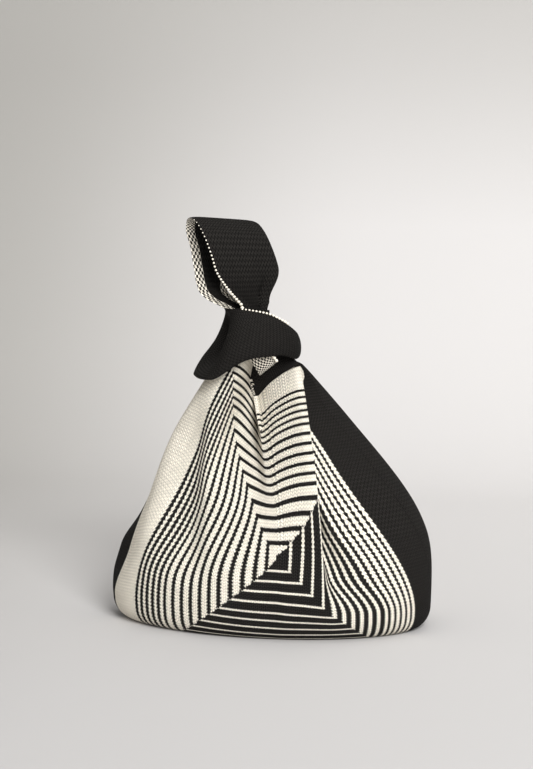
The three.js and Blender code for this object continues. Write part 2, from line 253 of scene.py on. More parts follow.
# %% Shader values
def calculate(operation, *values):
    """The result of a Math node on values and numbers."""
    tree = next(value.socket.id_data for value in values if isinstance(value, Value))
    return Value(add(tree, "Math", {"operation": operation}, dict(enumerate(values))))


def times_plus(value, factor, term):
    """A value times a factor, plus a term."""
    return calculate("MULTIPLY_ADD", value, factor, term)


class Value:
    """A shader value to calculate with. A comparison gives 1 where it holds and 0 elsewhere."""

    def __init__(self, socket):
        self.socket = socket

    def __add__(self, other):
        return calculate("ADD", self, other)

    def __sub__(self, other):
        return calculate("SUBTRACT", self, other)

    def __rsub__(self, number):
        return calculate("SUBTRACT", number, self)

    def __mul__(self, other):
        return calculate("MULTIPLY", self, other)

    def __gt__(self, other):
        return calculate("GREATER_THAN", self, other)

    def __lt__(self, other):
        return calculate("LESS_THAN", self, other)

    def __abs__(self):
        return calculate("ABSOLUTE", self)


print("operators of a shader value: + - * > < abs")

# %% One stitch
WALE = 1.97
COURSE = 1.38
STITCH_SLANT = 1.7
LEG_PLACE = 0.25
LEG_ROUNDNESS = 14


def stitch_at(u, v, drawn_wales=1, drawn_courses=1):
    """The stitch at a place, drawn over a number of wales and courses: its wale and course, its row and how far the
    legs slant the row there, and the yarn's height, a parabola across a leg times half a sine wave along it."""
    drawn_u, drawn_v = u * (1 / drawn_wales), v * (1 / drawn_courses)
    leg = abs(calculate("FRACT", drawn_u) - 0.5)
    slant = leg * STITCH_SLANT
    row = drawn_v - slant
    off_leg = leg - LEG_PLACE
    leg_dome = times_plus(off_leg * off_leg, -LEG_ROUNDNESS, 1)
    row_dome = calculate("SINE", calculate("FRACT", row) * math.pi)
    return calculate("FLOOR", drawn_u), calculate("FLOOR", row), row, slant, leg_dome * row_dome


print("stitch in mm:", WALE, "by", COURSE)

# %% [markdown]
# ## The two-colour pattern
# Front and back carry nested squares, a common stripe layout in knitting: light on two sides and dark on the other
# two, with a line of the other colour at each square. Counting stitches gives the layout. Across, a new square
# starts every 5 wales, then every 4, then every 3; upwards, every 8 courses, then 6, then 4. The largest of three
# straight lines gives each count, so the squares grow closer towards the edge. A stitch belongs to the side on which
# its count is larger, and it is a line where the count is near a whole number. The lines are wider in the outer
# squares, and narrower on the level sides, below the centre and at the right of the innermost squares.

# %% Nested squares
# For each straight line, the stitches from one square to the next and the line's value at the centre.
ACROSS_LINES = ((5, -0.1), (4, -1.375), (3, -5.5))
UP_LINES = ((8, -0.1875), (6, -1.9167), (4, -8.375))
ROW_EVENING = 0.45
OUTER_FROM = 11.5
INNER_TO = 4.5
LINE_WIDTH = 0.2
OUTER_WIDENING = 0.07
OUTER_LEVEL_THINNING = 0.05
LEVEL_NARROWING = 0.14
BELOW_NARROWING = 0.38
INNER_RIGHT_NARROWING = 0.45

# A tooth is one course high. In a picture this small that is finer than a pixel, so it is drawn over more courses.
TOOTH_COURSES = 2.6
TOOTH_WALES = 1.3

# The share of a line's width at the foot of a tooth, and how much it grows to the tip.
UPRIGHT_BULGE = (0.6, 0.9)
LEVEL_BULGE = (0.87, 0.35)


def count_at(place, lines):
    """Squares from the centre to a place: the largest of three straight lines."""
    out = abs(place)
    first, second, third = (times_plus(out, 1 / stitches, value) for stitches, value in lines)
    return calculate("MAXIMUM", calculate("MAXIMUM", first, second), third)


def squares(u, v, last_square):
    """1 for cream yarn and 0 for black, with lines from the first square to the last. Whole stitches decide the side
    of the square, so its corners are stepped. The place in a stitch decides the line, so its edges are toothed."""
    wale, course, row, slant, _ = stitch_at(u, v)
    from_middle, from_centre = wale + 0.5, course + 0.5
    level_side = count_at(from_centre, UP_LINES) > count_at(from_middle, ACROSS_LINES)
    upright_side = 1 - level_side
    level_count = level_side * count_at(times_plus(slant, ROW_EVENING, row), UP_LINES)
    count = times_plus(upright_side, count_at(u, ACROSS_LINES), level_count)
    light_left = upright_side * (from_middle < 0)
    light = level_side * (from_centre > 0) + light_left

    level_teeth = u * (1 / TOOTH_WALES) * level_side
    teeth = times_plus(row * (1 / TOOTH_COURSES), upright_side, level_teeth)
    tooth = abs(times_plus(calculate("FRACT", teeth), -2, 1))
    bulges = zip(LEVEL_BULGE, UPRIGHT_BULGE)
    foot, growth = (times_plus(level_side, level - upright, upright) for level, upright in bulges)
    outer = count > OUTER_FROM
    width = times_plus(level_side * outer, -OUTER_LEVEL_THINNING, times_plus(outer, OUTER_WIDENING, LINE_WIDTH))
    share = times_plus(level_side, -LEVEL_NARROWING, 1)
    share = times_plus(level_side * (from_centre < 0), -BELOW_NARROWING, share)
    share = times_plus((upright_side - light_left) * (count < INNER_TO), -INNER_RIGHT_NARROWING, share)
    square = calculate("ROUND", count)
    on_line = abs(count - square) < width * share * times_plus(tooth, growth, foot)
    return abs(light - on_line * (square > 0.5) * (square < last_square + 0.5))


print("wales to each square:", [stitches for stitches, _ in ACROSS_LINES])

# %% [markdown]
# ## The strap's reverse
# On the straps the cream yarn is carried along the inside as a backing, so the reverse shows small checks along both
# edges, where the backing yarn comes through. The plain black in the middle of the reverse is painted shadow, for the
# dark inside of the loop. The face is plain black. A mesh attribute called reverse is 1 on the inner side, so one
# material serves both sides.

# %% Checked reverse
STRAP_WIDTH = 62
CHECK_BORDER = 7.5
CHECK_SIZE = 1.7
border_from = (STRAP_WIDTH / 2 - CHECK_BORDER) / WALE


def checks(u, v, reverse):
    """1 for cream yarn on the reverse where the check's column and row add up to an odd number, in the borders."""
    row, column = (calculate("FLOOR", place * (size / CHECK_SIZE)) for place, size in ((v, COURSE), (u, WALE)))
    # Black beyond the borders: painted shadow for the dark inside of the loop.
    return calculate("FLOORED_MODULO", row + column, 2) * (abs(u) > border_from) * reverse


print("check border in wales:", round(CHECK_BORDER / WALE, 1))

# %% [markdown]
# ## The knit materials
# Cotton-like yarn is matt, with hardly any gloss. Each stitch differs a little in tone, which a
# white-noise value for each wale and course gives. The stitch height goes to a Bump node with its real depth.
# Roughness and gloss are the same all over, so they are set on the shader itself. Light and shade are painted on
# each stitch as well: by the stitch height two tones scale each yarn colour, a painted shade in the gaps between
# stitches and a painted highlight on the crests, up to several times the black yarn's own colour.

# %% Knit materials
CREAM_YARN = "#f7f0e1"
BLACK_YARN = "#11100f"
# How far the stitch height scales each yarn colour: painted shade in the gaps, painted highlight on the crests.
BLACK_SHADE_TO_HIGHLIGHT = {"To Min": 0.0, "To Max": 5.4}
CREAM_SHADE_TO_HIGHLIGHT = {"To Min": 0.55, "To Max": 1.2}
STITCH_TONES = {"To Min": 0.93, "To Max": 1.05}
FULL_HIGHLIGHT_HEIGHT = 0.9
STITCH_DEPTH = 0.7
STITCH_BUMP = 0.8
KNIT_ROUGHNESS = 0.82
KNIT_GLOSS = 0.05
FRONT_SQUARES = 16
BACK_SQUARES = 12

# A stitch is smaller than a picture this size can show, so it is drawn over more wales and courses than one.
DRAWN_WALES = 1.6
DRAWN_COURSES = 2.1

patterns = {
    "front_jacquard_cotton_knit": lambda u, v, reverse: squares(u, v, FRONT_SQUARES),
    "back_jacquard_cotton_knit": lambda u, v, reverse: squares(u, v, BACK_SQUARES),
    "black_cotton_knit": lambda u, v, reverse: u * 0,
    "strap_cotton_knit": checks,
}
knit = {}
for knit_name, pattern in patterns.items():
    knit[knit_name], tree, shader = new_material(knit_name, KNIT_ROUGHNESS, KNIT_GLOSS)
    parts = add(tree, "SeparateXYZ", None, {0: add(tree, "UVMap", {"uv_map": "stitches"})}).node
    u, v = Value(parts.outputs[0]), Value(parts.outputs[1])
    reverse = Value(add(tree, "Attribute", {"attribute_name": "reverse"}).node.outputs["Fac"])
    cream = pattern(u, v, reverse)
    wale, course, _, _, stitch = stitch_at(u, v, DRAWN_WALES, DRAWN_COURSES)
    place = add(tree, "CombineXYZ", None, {0: wale, 1: course})
    tone = add(tree, "TexWhiteNoise", {"noise_dimensions": "2D"}, {"Vector": place})
    shade = add(tree, "MapRange", None, {"Value": tone, **STITCH_TONES})
    painted_yarns = []
    # Painted shade and highlight: each yarn colour is scaled by the stitch height, darkest in the gaps, brightest on
    # the crests.
    for yarn, tones in ((BLACK_YARN, BLACK_SHADE_TO_HIGHLIGHT), (CREAM_YARN, CREAM_SHADE_TO_HIGHLIGHT)):
        painted_stitch_light = add(tree, "MapRange", None, {"Value": stitch, "From Max": FULL_HIGHLIGHT_HEIGHT, **tones})
        painted_yarns.append(add(tree, "VectorMath", {"operation": "SCALE"}, {0: linear(yarn)[:3], "Scale": painted_stitch_light}))
    mixed = add(tree, "Mix", {"data_type": "RGBA"}, {0: cream, 6: painted_yarns[0], 7: painted_yarns[1]})
    colour = add(tree, "VectorMath", {"operation": "SCALE"}, {0: mixed.node.outputs[2], "Scale": shade})
    bump = add(tree, "Bump", None, {"Strength": STITCH_BUMP, "Distance": STITCH_DEPTH * MM, "Height": stitch})
    tree.links.new(colour, shader.inputs["Base Color"])
    tree.links.new(bump, shader.inputs["Normal"])
print("knits:", list(knit))

# %% [markdown]
# ## From a grid of points to a closed sheet
# Knit has a thickness, so a piece is a closed sheet: the grid that shows, the same grid one thickness behind it,
# and strips that close the edges. Whole index arrays make the faces, so no vertex is visited one by one.

# %% Grids
SHARP_ANGLE = math.radians(55)


def quads(*corners):
    """Four index arrays, one for each corner, as rows of four."""
    return np.stack(corners, -1).reshape(-1, 4)


def closed_quads(front, behind, wrap):
    """Faces of a closed sheet from the index grids of its two sides; a wrapped one has no end strips."""
    parts = [
        quads(front[:-1, :-1], front[1:, :-1], front[1:, 1:], front[:-1, 1:]),
        quads(behind[:-1, :-1], behind[:-1, 1:], behind[1:, 1:], behind[1:, :-1]),
        quads(front[:-1, 0], behind[:-1, 0], behind[1:, 0], front[1:, 0]),
        quads(front[:-1, -1], front[1:, -1], behind[1:, -1], behind[:-1, -1]),
    ]
    if not wrap:
        parts.append(quads(front[0, :-1], front[0, 1:], behind[0, 1:], behind[0, :-1]))
        parts.append(quads(front[-1, :-1], behind[-1, :-1], behind[-1, 1:], front[-1, 1:]))
    return np.concatenate(parts)


def unit(vectors):
    """Vectors divided by their lengths."""
    return vectors / np.maximum(np.linalg.norm(vectors, axis=-1, keepdims=True), 1e-9)


def slope(grid, wrap=False):
    """Differences between the columns on both sides, taken across the seam if the grid is wrapped."""
    return np.roll(grid, -1, 0) - np.roll(grid, 1, 0) if wrap else np.gradient(grid, axis=0)


def normals_of(face, wrap=False):
    """Unit normals of a grid: the cross product of its differences along columns and rows."""
    return unit(np.cross(slope(face, wrap), np.gradient(face, axis=1)))


def run_along(path):
    """Length of a path from its start to each of its points, which are its first axis."""
    steps = np.linalg.norm(np.diff(path, axis=0), axis=-1)
    return np.concatenate([np.zeros_like(steps[:1]), np.cumsum(steps, 0)])


def finish_mesh(name, points, faces, material):
    """A new object from points in millimetres and faces, smooth except at sharp edges."""
    piece = new_object(name, points * MM, faces.tolist(), material)
    piece.data.set_sharp_from_angle(angle=SHARP_ANGLE)
    return piece


print("edges are sharp from:", round(math.degrees(SHARP_ANGLE)), "degrees")

# %% Closed sheets
flat_sizes = {}


def flat_size(face, wrap):
    """Longest row, longest column and area of a grid. Knit that isn't stretched keeps them when it is laid flat."""
    closed = np.concatenate([face, face[:1]]) if wrap else face
    across, along = np.diff(closed, axis=0), np.diff(closed, axis=1)
    width = np.linalg.norm(across, axis=-1).sum(0).max()
    length = np.linalg.norm(along, axis=-1).sum(1).max()
    area = np.linalg.norm(np.cross(across[:, :-1], along[:-1]), axis=-1).sum()
    return width * MM, length * MM, area * MM**2


def sheet(name, face, stitches, thickness, material, wrap=False):
    """A closed sheet behind a grid of points (columns, rows, 3), with its wale and course numbers as UV map.
    A wrapped sheet's stitches have one column more, for the seam where the last column meets the first."""
    columns, rows = face.shape[:2]
    column = np.arange(columns + wrap)[:, None]
    row = np.arange(rows)
    front = (column % columns) * rows + row
    behind_points = face - normals_of(face, wrap) * np.broadcast_to(thickness, face.shape[:2])[..., None]
    faces = closed_quads(front, front + columns * rows, wrap)
    piece = finish_mesh(name, np.concatenate([face, behind_points]).reshape(-1, 3), faces, material)
    corner = column * rows + row
    corners = closed_quads(corner, corner, wrap).ravel()
    piece.data.uv_layers.new(name="stitches").data.foreach_set("uv", stitches.reshape(-1, 2)[corners].ravel())
    reverse = np.repeat([0.0, 1.0], columns * rows)
    piece.data.attributes.new("reverse", "FLOAT", "POINT").data.foreach_set("value", reverse)
    flat_sizes[name] = flat_size(face, wrap)
    print(name, "quads:", len(faces))
    return piece


# %% [markdown]
# ## The gathered pouch
# The pouch is a filled bag: each wale leaves the oval base upright, swells at the shoulder and bends in to its own
# place on the neck, where the cloth is folded together. A cloth simulation could gather it, but then the folds would
# fall where they like. Here the folds are wanted where the photograph has them, so each wale is a curve from the
# base oval by a shoulder point to the folded neck outline, a quadratic Bezier curve, and all wales are worked out
# together.

# %% Curves
def smoothstep(value, low, high):
    """0 below low, 1 above high, and the cubic 3t^2 - 2t^3 between."""
    t = np.clip((value - low) / (high - low), 0, 1)
    return t * t * (3 - 2 * t)


def hump(value, rise, full, fall, end):
    """0 below rise, 1 from full to fall, and 0 again above end."""
    return smoothstep(value, rise, full) * (1 - smoothstep(value, fall, end))


def bell(value, middle, spread):
    """1 at the middle, fading on both sides by a bell curve."""
    return np.exp(-((value - middle) / spread) ** 2)


def spline(points, place, closed=False):
    """A smooth curve through points, read at places counted in points: a centripetal Catmull-Rom curve, whose
    tangent at a point weighs the neighbouring chords by the square roots of their lengths."""
    total = len(points)
    if not closed:
        points = np.concatenate([2 * points[:1] - points[1:2], points, 2 * points[-1:] - points[-2:-1]])
    start = np.floor(place).astype(int)
    start = start if closed else np.clip(start, 0, total - 2)
    part = (place - start)[..., None]
    picked = [points[(start + k) % total] if closed else points[start + 1 + k] for k in (-1, 0, 1, 2)]
    before, here, there, after = picked
    chords = [np.linalg.norm(b - a, axis=-1, keepdims=True) ** 0.5 for a, b in zip(picked, picked[1:])]
    d0, d1, d2 = (np.maximum(chord, 1e-4) for chord in chords)
    leave = d1 * ((here - before) / d0 - (there - before) / (d0 + d1) + (there - here) / d1)
    arrive = d1 * ((there - here) / d1 - (after - here) / (d1 + d2) + (after - there) / d2)
    rise = there - here
    return here + leave * part + (3 * rise - 2 * leave - arrive) * part**2 + (leave + arrive - 2 * rise) * part**3


print("smoothstep at a quarter:", smoothstep(0.25, 0, 1))

# %% Base oval
BASE_WIDTH = 272
BASE_DEPTH = 156
FOOT_HEIGHT = 18
FOOT_INSET = 15
SHOULDER_HEIGHT = 91
SHOULDER_SKEW = 17
SHOULDER_BULGE = 7
FRONT_MIDDLE = 20
FRONT_LEFT = 165
FRONT_RIGHT = 152
GUSSET_WIDTH = 50
PLEAT_PLACE = 42
TABLE_POINTS = 2881

angle_table = np.linspace(0, 2 * np.pi, TABLE_POINTS) - np.pi / 2
table_x = BASE_WIDTH / 2 * np.cos(angle_table)
table_y = BASE_DEPTH / 2 * np.sin(angle_table)
arc_table = np.concatenate([[0], np.cumsum(np.hypot(np.diff(table_x), np.diff(table_y)))])
girth = arc_table[-1]
front_left = FRONT_MIDDLE - FRONT_LEFT
front_right = FRONT_MIDDLE + FRONT_RIGHT
back_right = front_right + GUSSET_WIDTH
back_left = front_left + girth - GUSSET_WIDTH
back_span = back_left - back_right
pleat = FRONT_MIDDLE + PLEAT_PLACE
print("girth in mm:", round(girth))

# %% Neck outline
NECK_WIDTH = 84
NECK_DEPTH = 60
NECK_HEIGHT = 212
NECK_X = -11
NECK_TURN = math.radians(23)

# Each fold: arc on the base oval, then across and depth as shares of the neck's half sizes, then the rim's rise.
neck_folds = np.array([
    (front_left, -0.96, 0.15, -2),
    (FRONT_MIDDLE - 0.77 * FRONT_LEFT, -0.57, -0.9, 22),
    (FRONT_MIDDLE, -0.2, 0.2, -24),
    (FRONT_MIDDLE + 0.4 * PLEAT_PLACE, 0.2, -0.4, -8),
    (pleat - 16, 0.46, -0.82, 2),
    (pleat - 7, 0.62, -1.0, 6),
    (pleat, 0.74, -0.93, 6),
    (pleat + 24, 0.57, -0.3, 2),
    (front_right, 0.86, -0.2, 4),
    (front_right + GUSSET_WIDTH / 2, 0.92, 0.23, 4),
    (back_right, 0.79, 0.7, 5),
    (back_right + 0.22 * back_span, 0.38, 0.97, 4),
    (back_right + 0.5 * back_span, 0.02, 0.85, -10),
    (back_right + 0.78 * back_span, -0.33, 1.0, 4),
    (back_left, -0.74, 0.75, -2),
    (back_left + GUSSET_WIDTH / 2, -0.86, 0.5, -5),
])


def turned(points, angle=NECK_TURN):
    """Points turned about Z by an angle."""
    x, y, z = np.moveaxis(points, -1, 0)
    return np.stack([x * np.cos(angle) - y * np.sin(angle), x * np.sin(angle) + y * np.cos(angle), z], -1)


neck_points = turned(np.stack([
    NECK_X + neck_folds[:, 1] * NECK_WIDTH / 2,
    neck_folds[:, 2] * NECK_DEPTH / 2,
    NECK_HEIGHT + neck_folds[:, 3],
], -1))
print("folds at the neck:", len(neck_folds))

# %% Wall of the pouch
def oval_at(arc, inset):
    """Points of the base oval at arc lengths from the front middle, set in by a distance."""
    angle = np.interp(arc % girth, arc_table, angle_table)
    along_x, along_y = -BASE_WIDTH / 2 * np.sin(angle), BASE_DEPTH / 2 * np.cos(angle)
    size = np.hypot(along_x, along_y)
    x = BASE_WIDTH / 2 * np.cos(angle) - along_y / size * inset
    y = BASE_DEPTH / 2 * np.sin(angle) + along_x / size * inset
    return np.stack([x, y, np.zeros_like(x)], -1)


def neck_at(arc):
    """The neck outline at the wale that leaves the oval at an arc: a smooth closed curve through the folds."""
    places = np.append(neck_folds[:, 0], neck_folds[0, 0] + girth)
    arc = neck_folds[0, 0] + (arc - neck_folds[0, 0]) % girth
    return spline(neck_points, np.interp(arc, places, np.arange(len(places))), closed=True)


def wall_at(arc, height):
    """Outer face of the pouch without its folds. height runs from -1 on the floor, by 0 at the top of the rolled
    foot, to 1 at the rim. The foot is a quarter of an ellipse. Above it each wale is a quadratic Bezier curve from
    the oval by the shoulder to the neck."""
    arc, height = np.broadcast_arrays(np.asarray(arc, float), np.asarray(height, float))
    roll = (1 + np.minimum(height, 0)) * np.pi / 2
    foot = oval_at(arc, FOOT_INSET * (1 - np.sin(roll)))
    foot[..., 2] = FOOT_HEIGHT * (1 - np.cos(roll))
    shoulder = oval_at(arc, -SHOULDER_BULGE)
    shoulder[..., 2] = SHOULDER_HEIGHT + SHOULDER_SKEW * foot[..., 0] / (BASE_WIDTH / 2)
    t = np.clip(height, 0, 1)[..., None]
    return (1 - t) ** 2 * foot + 2 * t * (1 - t) * shoulder + t**2 * neck_at(arc)


print("front middle in mm:", np.round(wall_at(0, 0)))

# %% [markdown]
# On this plain wall the photograph's folds are laid as shifts, each with a reach round the bag and a range of
# heights. Heights and spans below are where a shift starts, is full, begins to fade and ends.

# %% Folds of the front
GATHER_SHARE = 0.42
GATHER_REACH = 100
GATHER_SOFTNESS = 8
GATHER_START = 0.67
GATHER_HEIGHTS = (0.2, 0.6)
VALLEY_PLACE = 14
VALLEY_TUCK = 26
VALLEY_SPAN = (FRONT_MIDDLE - 115, FRONT_MIDDLE - 72, FRONT_MIDDLE - 30, FRONT_MIDDLE - 4)
VALLEY_HEIGHTS = (0.5, 0.85)
PLEAT_INTAKE = 48
PLEAT_HEIGHTS = (0, 0.65)
PLEAT_SHIFT = 36
PLEAT_FADE = (1.2, 3.1)
PLEAT_LOW_SHIFT = 12
PLEAT_LOW_FULL = 0.43
PLEAT_LOW_FADE = (0.58, 1.73)
PLEAT_LOW_HEIGHTS = (0.03, 0.2, 0.35, 0.65)
PLEAT_TUCK = 26
PLEAT_TUCK_SPAN = (0.04, 0.42, 0.58, 1.04)
PLEAT_BULGE = 5
PLEAT_BULGE_PLACE = -0.08
PLEAT_BULGE_REACH = 0.29
RIM_HEIGHTS = (0.82, 1)


def front_folds(arc, height):
    """Shift along the front and shift outwards, in millimetres, of the front's two folds.
    Gather: left of the valley the cloth closes up, by a share of its distance that fades like a bell curve,
    and beside the valley it is drawn in to a pocket.
    Pleat: past its edge the cloth goes in, comes out again drawn up to the edge, and the edge itself stands out."""
    beyond = arc - FRONT_MIDDLE - VALLEY_PLACE
    left_of = (beyond - np.hypot(beyond, GATHER_SOFTNESS)) / 2
    from_seam = smoothstep(arc, front_left, FRONT_MIDDLE - GATHER_START * FRONT_LEFT)
    closing = GATHER_SHARE * left_of * bell(beyond, 0, GATHER_REACH) * from_seam
    past = (arc - pleat) / PLEAT_INTAKE
    lifted = smoothstep(height, *PLEAT_HEIGHTS)
    drawn = PLEAT_SHIFT * np.clip(past, 0, 1) * (1 - smoothstep(past, *PLEAT_FADE)) * lifted
    drawn_low = PLEAT_LOW_SHIFT * np.clip(past / PLEAT_LOW_FULL, 0, 1) * (1 - smoothstep(past, *PLEAT_LOW_FADE))
    drawn_low *= hump(height, *PLEAT_LOW_HEIGHTS)
    tucked = PLEAT_TUCK * hump(past, *PLEAT_TUCK_SPAN)
    edge = PLEAT_BULGE * bell(past, PLEAT_BULGE_PLACE, PLEAT_BULGE_REACH)
    valley = VALLEY_TUCK * hump(arc, *VALLEY_SPAN) * smoothstep(height, *VALLEY_HEIGHTS)
    below_rim = 1 - smoothstep(height, *RIM_HEIGHTS)
    along = -closing * smoothstep(height, *GATHER_HEIGHTS) - (drawn + drawn_low) * below_rim
    return along, (edge - tucked) * lifted * below_rim - valley


print("deepest tuck in mm:", round(-front_folds(np.linspace(front_left, front_right, 200), 0.7)[1].min(), 1))

# %% Folds of the sides
LEFT_SWELL = 2.5
LEFT_SWELL_HEIGHTS = (0.02, 0.2, 0.3, 0.55)
LEFT_SINK = 17
LEFT_SINK_HEIGHTS = (0.3, 0.65)
LEFT_SEAM_SHIFT = 8
LEFT_SEAM_REACH = 26
LEFT_SEAM_HEIGHTS = (0.02, 0.32, 0.52, 0.85)
RIGHT_SWELL = 9
RIGHT_SWELL_REACH = 30
RIGHT_SWELL_HEIGHTS = (0.02, 0.35, 0.38, 0.8)
FURROW_DEPTH = 10
FURROW_FADE = 25
FURROW_START = 0.21
FURROW_SLANT = 0.715
FURROW_SPAN = (-0.08, 0.08, 0.1, 0.36)
FURROW_HEIGHTS = (0.15, 0.42, 0.7, 0.95)


def side_folds(arc, height):
    """Shift outwards and shift to the right of the two sides. The left gusset swells low down and sinks in above,
    the seam in front of it leans to the right there, the front sinks to a furrow beside it, and the right gusset
    swells."""
    left_share = np.clip(((arc - back_left) % girth) / GUSSET_WIDTH, 0, 1)
    right_share = np.clip((arc - front_right + RIGHT_SWELL_REACH) / (GUSSET_WIDTH + 2 * RIGHT_SWELL_REACH), 0, 1)
    swell = LEFT_SWELL * hump(height, *LEFT_SWELL_HEIGHTS) - LEFT_SINK * smoothstep(height, *LEFT_SINK_HEIGHTS)
    left_hump = np.sin(np.pi * left_share)
    left = swell * left_hump * (1 + left_hump) / 2
    right = RIGHT_SWELL * np.sin(np.pi * right_share) ** 2 * hump(height, *RIGHT_SWELL_HEIGHTS)
    from_furrow = (FRONT_MIDDLE - arc) / FRONT_LEFT - FURROW_START - FURROW_SLANT * height
    furrow = FURROW_DEPTH * hump(from_furrow, *FURROW_SPAN) * hump(height, *FURROW_HEIGHTS)
    furrow *= smoothstep(arc, front_left, front_left + FURROW_FADE)
    from_seam = (arc - front_left + girth / 2) % girth - girth / 2
    shift = LEFT_SEAM_SHIFT * bell(from_seam, 0, LEFT_SEAM_REACH) * hump(height, *LEFT_SEAM_HEIGHTS)
    return left + right - furrow, shift


pleat_step = oval_at(np.array([pleat - 1.0, pleat + 1.0]), 0)
pleat_along = (pleat_step[1] - pleat_step[0]) / 2
pleat_out = np.array([pleat_along[1], -pleat_along[0], 0])


def pouch_at(arc, height):
    """The wall with its folds: cloth slides along the oval's direction at the pleat, and moves in or out."""
    along, out = front_folds(arc, height)
    outwards = oval_at(arc, -1) - oval_at(arc, 0)
    side_out, side_right = side_folds(arc, height)
    wall = wall_at(arc, height) + side_out[..., None] * outwards + side_right[..., None] * (1, 0, 0)
    return wall + along[..., None] * pleat_along + out[..., None] * pleat_out


print("direction along the pleat:", np.round(pleat_along, 2))

# %% [markdown]
# Each panel is a grid between two seams. Its courses are shared out evenly along the wales, and its wales follow
# marks read from the photograph. The front's pattern doesn't hang straight, so a last step moves it a little.

# %% Panels
KNIT_THICKNESS = 2.8
LOWER_COURSES = 98
UPPER_COURSES = 155
CENTRE_SHARE = 0.3475
SEAM_GAP = 0.3
COLUMN_PITCH = 2.0
FOOT_ROWS = 12
WALL_ROWS = 110
SAG = 0.2
SAG_WALES = 50
SAG_LEVELS = (-90, -50, -10, 60)
LEFT_DROOP = 0.05
CLOSING = 6
CLOSING_LEVELS = (-60, 40)
CLOSING_WALES = (0, 12, 24, 48)

front_places = np.array([-107.0, 16.0, 32.0, 85.5, 141.0])
front_wales = np.array([-127.0, -10.8, 10.8, 66.0, 127.0])
heights = np.concatenate([np.linspace(-1, 0, FOOT_ROWS, endpoint=False), np.linspace(0, 1, WALL_ROWS)])


def stretched(value, places, marks):
    """Straight-line mapping from places to marks that carries on at the same slope past both ends."""
    low = marks[0] + (value - places[0]) * (marks[1] - marks[0]) / (places[1] - places[0])
    high = marks[-1] + (value - places[-1]) * (marks[-1] - marks[-2]) / (places[-1] - places[-2])
    inside = np.interp(value, places, marks)
    return np.where(value < places[0], low, np.where(value > places[-1], high, inside))


def hung(wale, level):
    """The front's pattern as it hangs: it sags right of the middle and droops on the left, and then some wales close
    up towards the middle."""
    start, full, fade, end = SAG_LEVELS
    sag = SAG * np.clip(wale, 0, SAG_WALES) * (1 - smoothstep(level, fade, end)) * smoothstep(level, start, full)
    level = level + sag + LEFT_DROOP * np.minimum(wale, 0)
    return wale - CLOSING * smoothstep(level, *CLOSING_LEVELS) * hump(wale, *CLOSING_WALES), level


def panel(name, start, end, places, marks, material):
    """One panel of the pouch between two arcs. Courses are shared out evenly along each wale's length."""
    arcs = np.linspace(start + SEAM_GAP / 2, end - SEAM_GAP / 2, int((end - start) / COLUMN_PITCH) + 1)
    arc, height = np.meshgrid(arcs, heights, indexing="ij")
    risen = run_along(np.swapaxes(wall_at(arc, height), 0, 1)).T
    share = risen / risen[:, -1:]
    level = np.interp(share, [0, CENTRE_SHARE, 1], [-LOWER_COURSES, 0, UPPER_COURSES])
    wale = stretched(arc, places, marks)
    if name == "front_panel_knit":
        wale, level = hung(wale, level)
    stitches = np.stack([wale / WALE, level / COURSE], -1)
    piece = sheet(name, pouch_at(arc, height), stitches, KNIT_THICKNESS, material)
    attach(piece, "pouch")
    return piece


even = np.array([0.0, 100.0])
back_marks = np.array([-100.0, 100.0])
back_places = (back_right + back_left) / 2 + back_marks
even_places = front_right + even
black_knit = knit["black_cotton_knit"]
front_knit, back_knit = knit["front_jacquard_cotton_knit"], knit["back_jacquard_cotton_knit"]
for node_name, start, end, places, marks, material, slot_name in (
    ("front_panel", front_left, front_right, front_places, front_wales, front_knit, "jacquard_knit"),
    ("back_panel", back_right, back_left, back_places, back_marks, back_knit, "jacquard_knit"),
    ("right_gusset", front_right, back_right, even_places, even, black_knit, "black_knit"),
    ("left_gusset", back_left, front_left + girth, even_places, even, black_knit, "black_knit"),
):
    piece = panel(node_name + "_knit", start, end, places, marks, material)
    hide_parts(node_name)

# %% [markdown]
# ## Base
# The base is a flat oval of black knit, linked to the rolled foot all round. A disc made of rings would have a pole
# in its middle, so a square grid is pressed into an oval instead: each coordinate shrinks with the other one.

# %% Base panel
BASE_POINTS = 61
base_side = np.linspace(-1, 1, BASE_POINTS)
side_x, side_y = np.meshgrid(base_side, -base_side, indexing="ij")
base_half = np.array([BASE_WIDTH / 2, BASE_DEPTH / 2]) - FOOT_INSET - SEAM_GAP
base_face = np.stack([
    base_half[0] * side_x * np.sqrt(1 - side_y**2 / 2),
    base_half[1] * side_y * np.sqrt(1 - side_x**2 / 2),
    np.zeros_like(side_x),
], -1)
base_panel = sheet("base_panel_knit", base_face, base_face[..., :2] / (WALE, COURSE), KNIT_THICKNESS, black_knit)
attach(base_panel, "pouch")
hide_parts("base_panel")

# %% [markdown]
# ## Linking yarn
# Panels of a knitted bag are joined by a chain of yarn on the inside. The yarn has two plies that twist round each
# other, so each ply is a round profile carried along a spiral round the seam's path.

# %% Plied yarn
YARN_RADIUS = 0.9
PLY_TURN = 5.0
PLY_SIDES = 6
PLY_SWING = 0.5 * YARN_RADIUS
PLY_RADIUS = 0.55 * YARN_RADIUS
SEAM_ASIDE = (0.31, 0.17, 0.93)


def frame_along(ahead, aside):
    """Three unit directions along a path: ahead, to the side, which is square to ahead and aside, and lifted."""
    ahead = unit(ahead)
    side = unit(np.cross(ahead, aside))
    return ahead, side, np.cross(side, ahead)


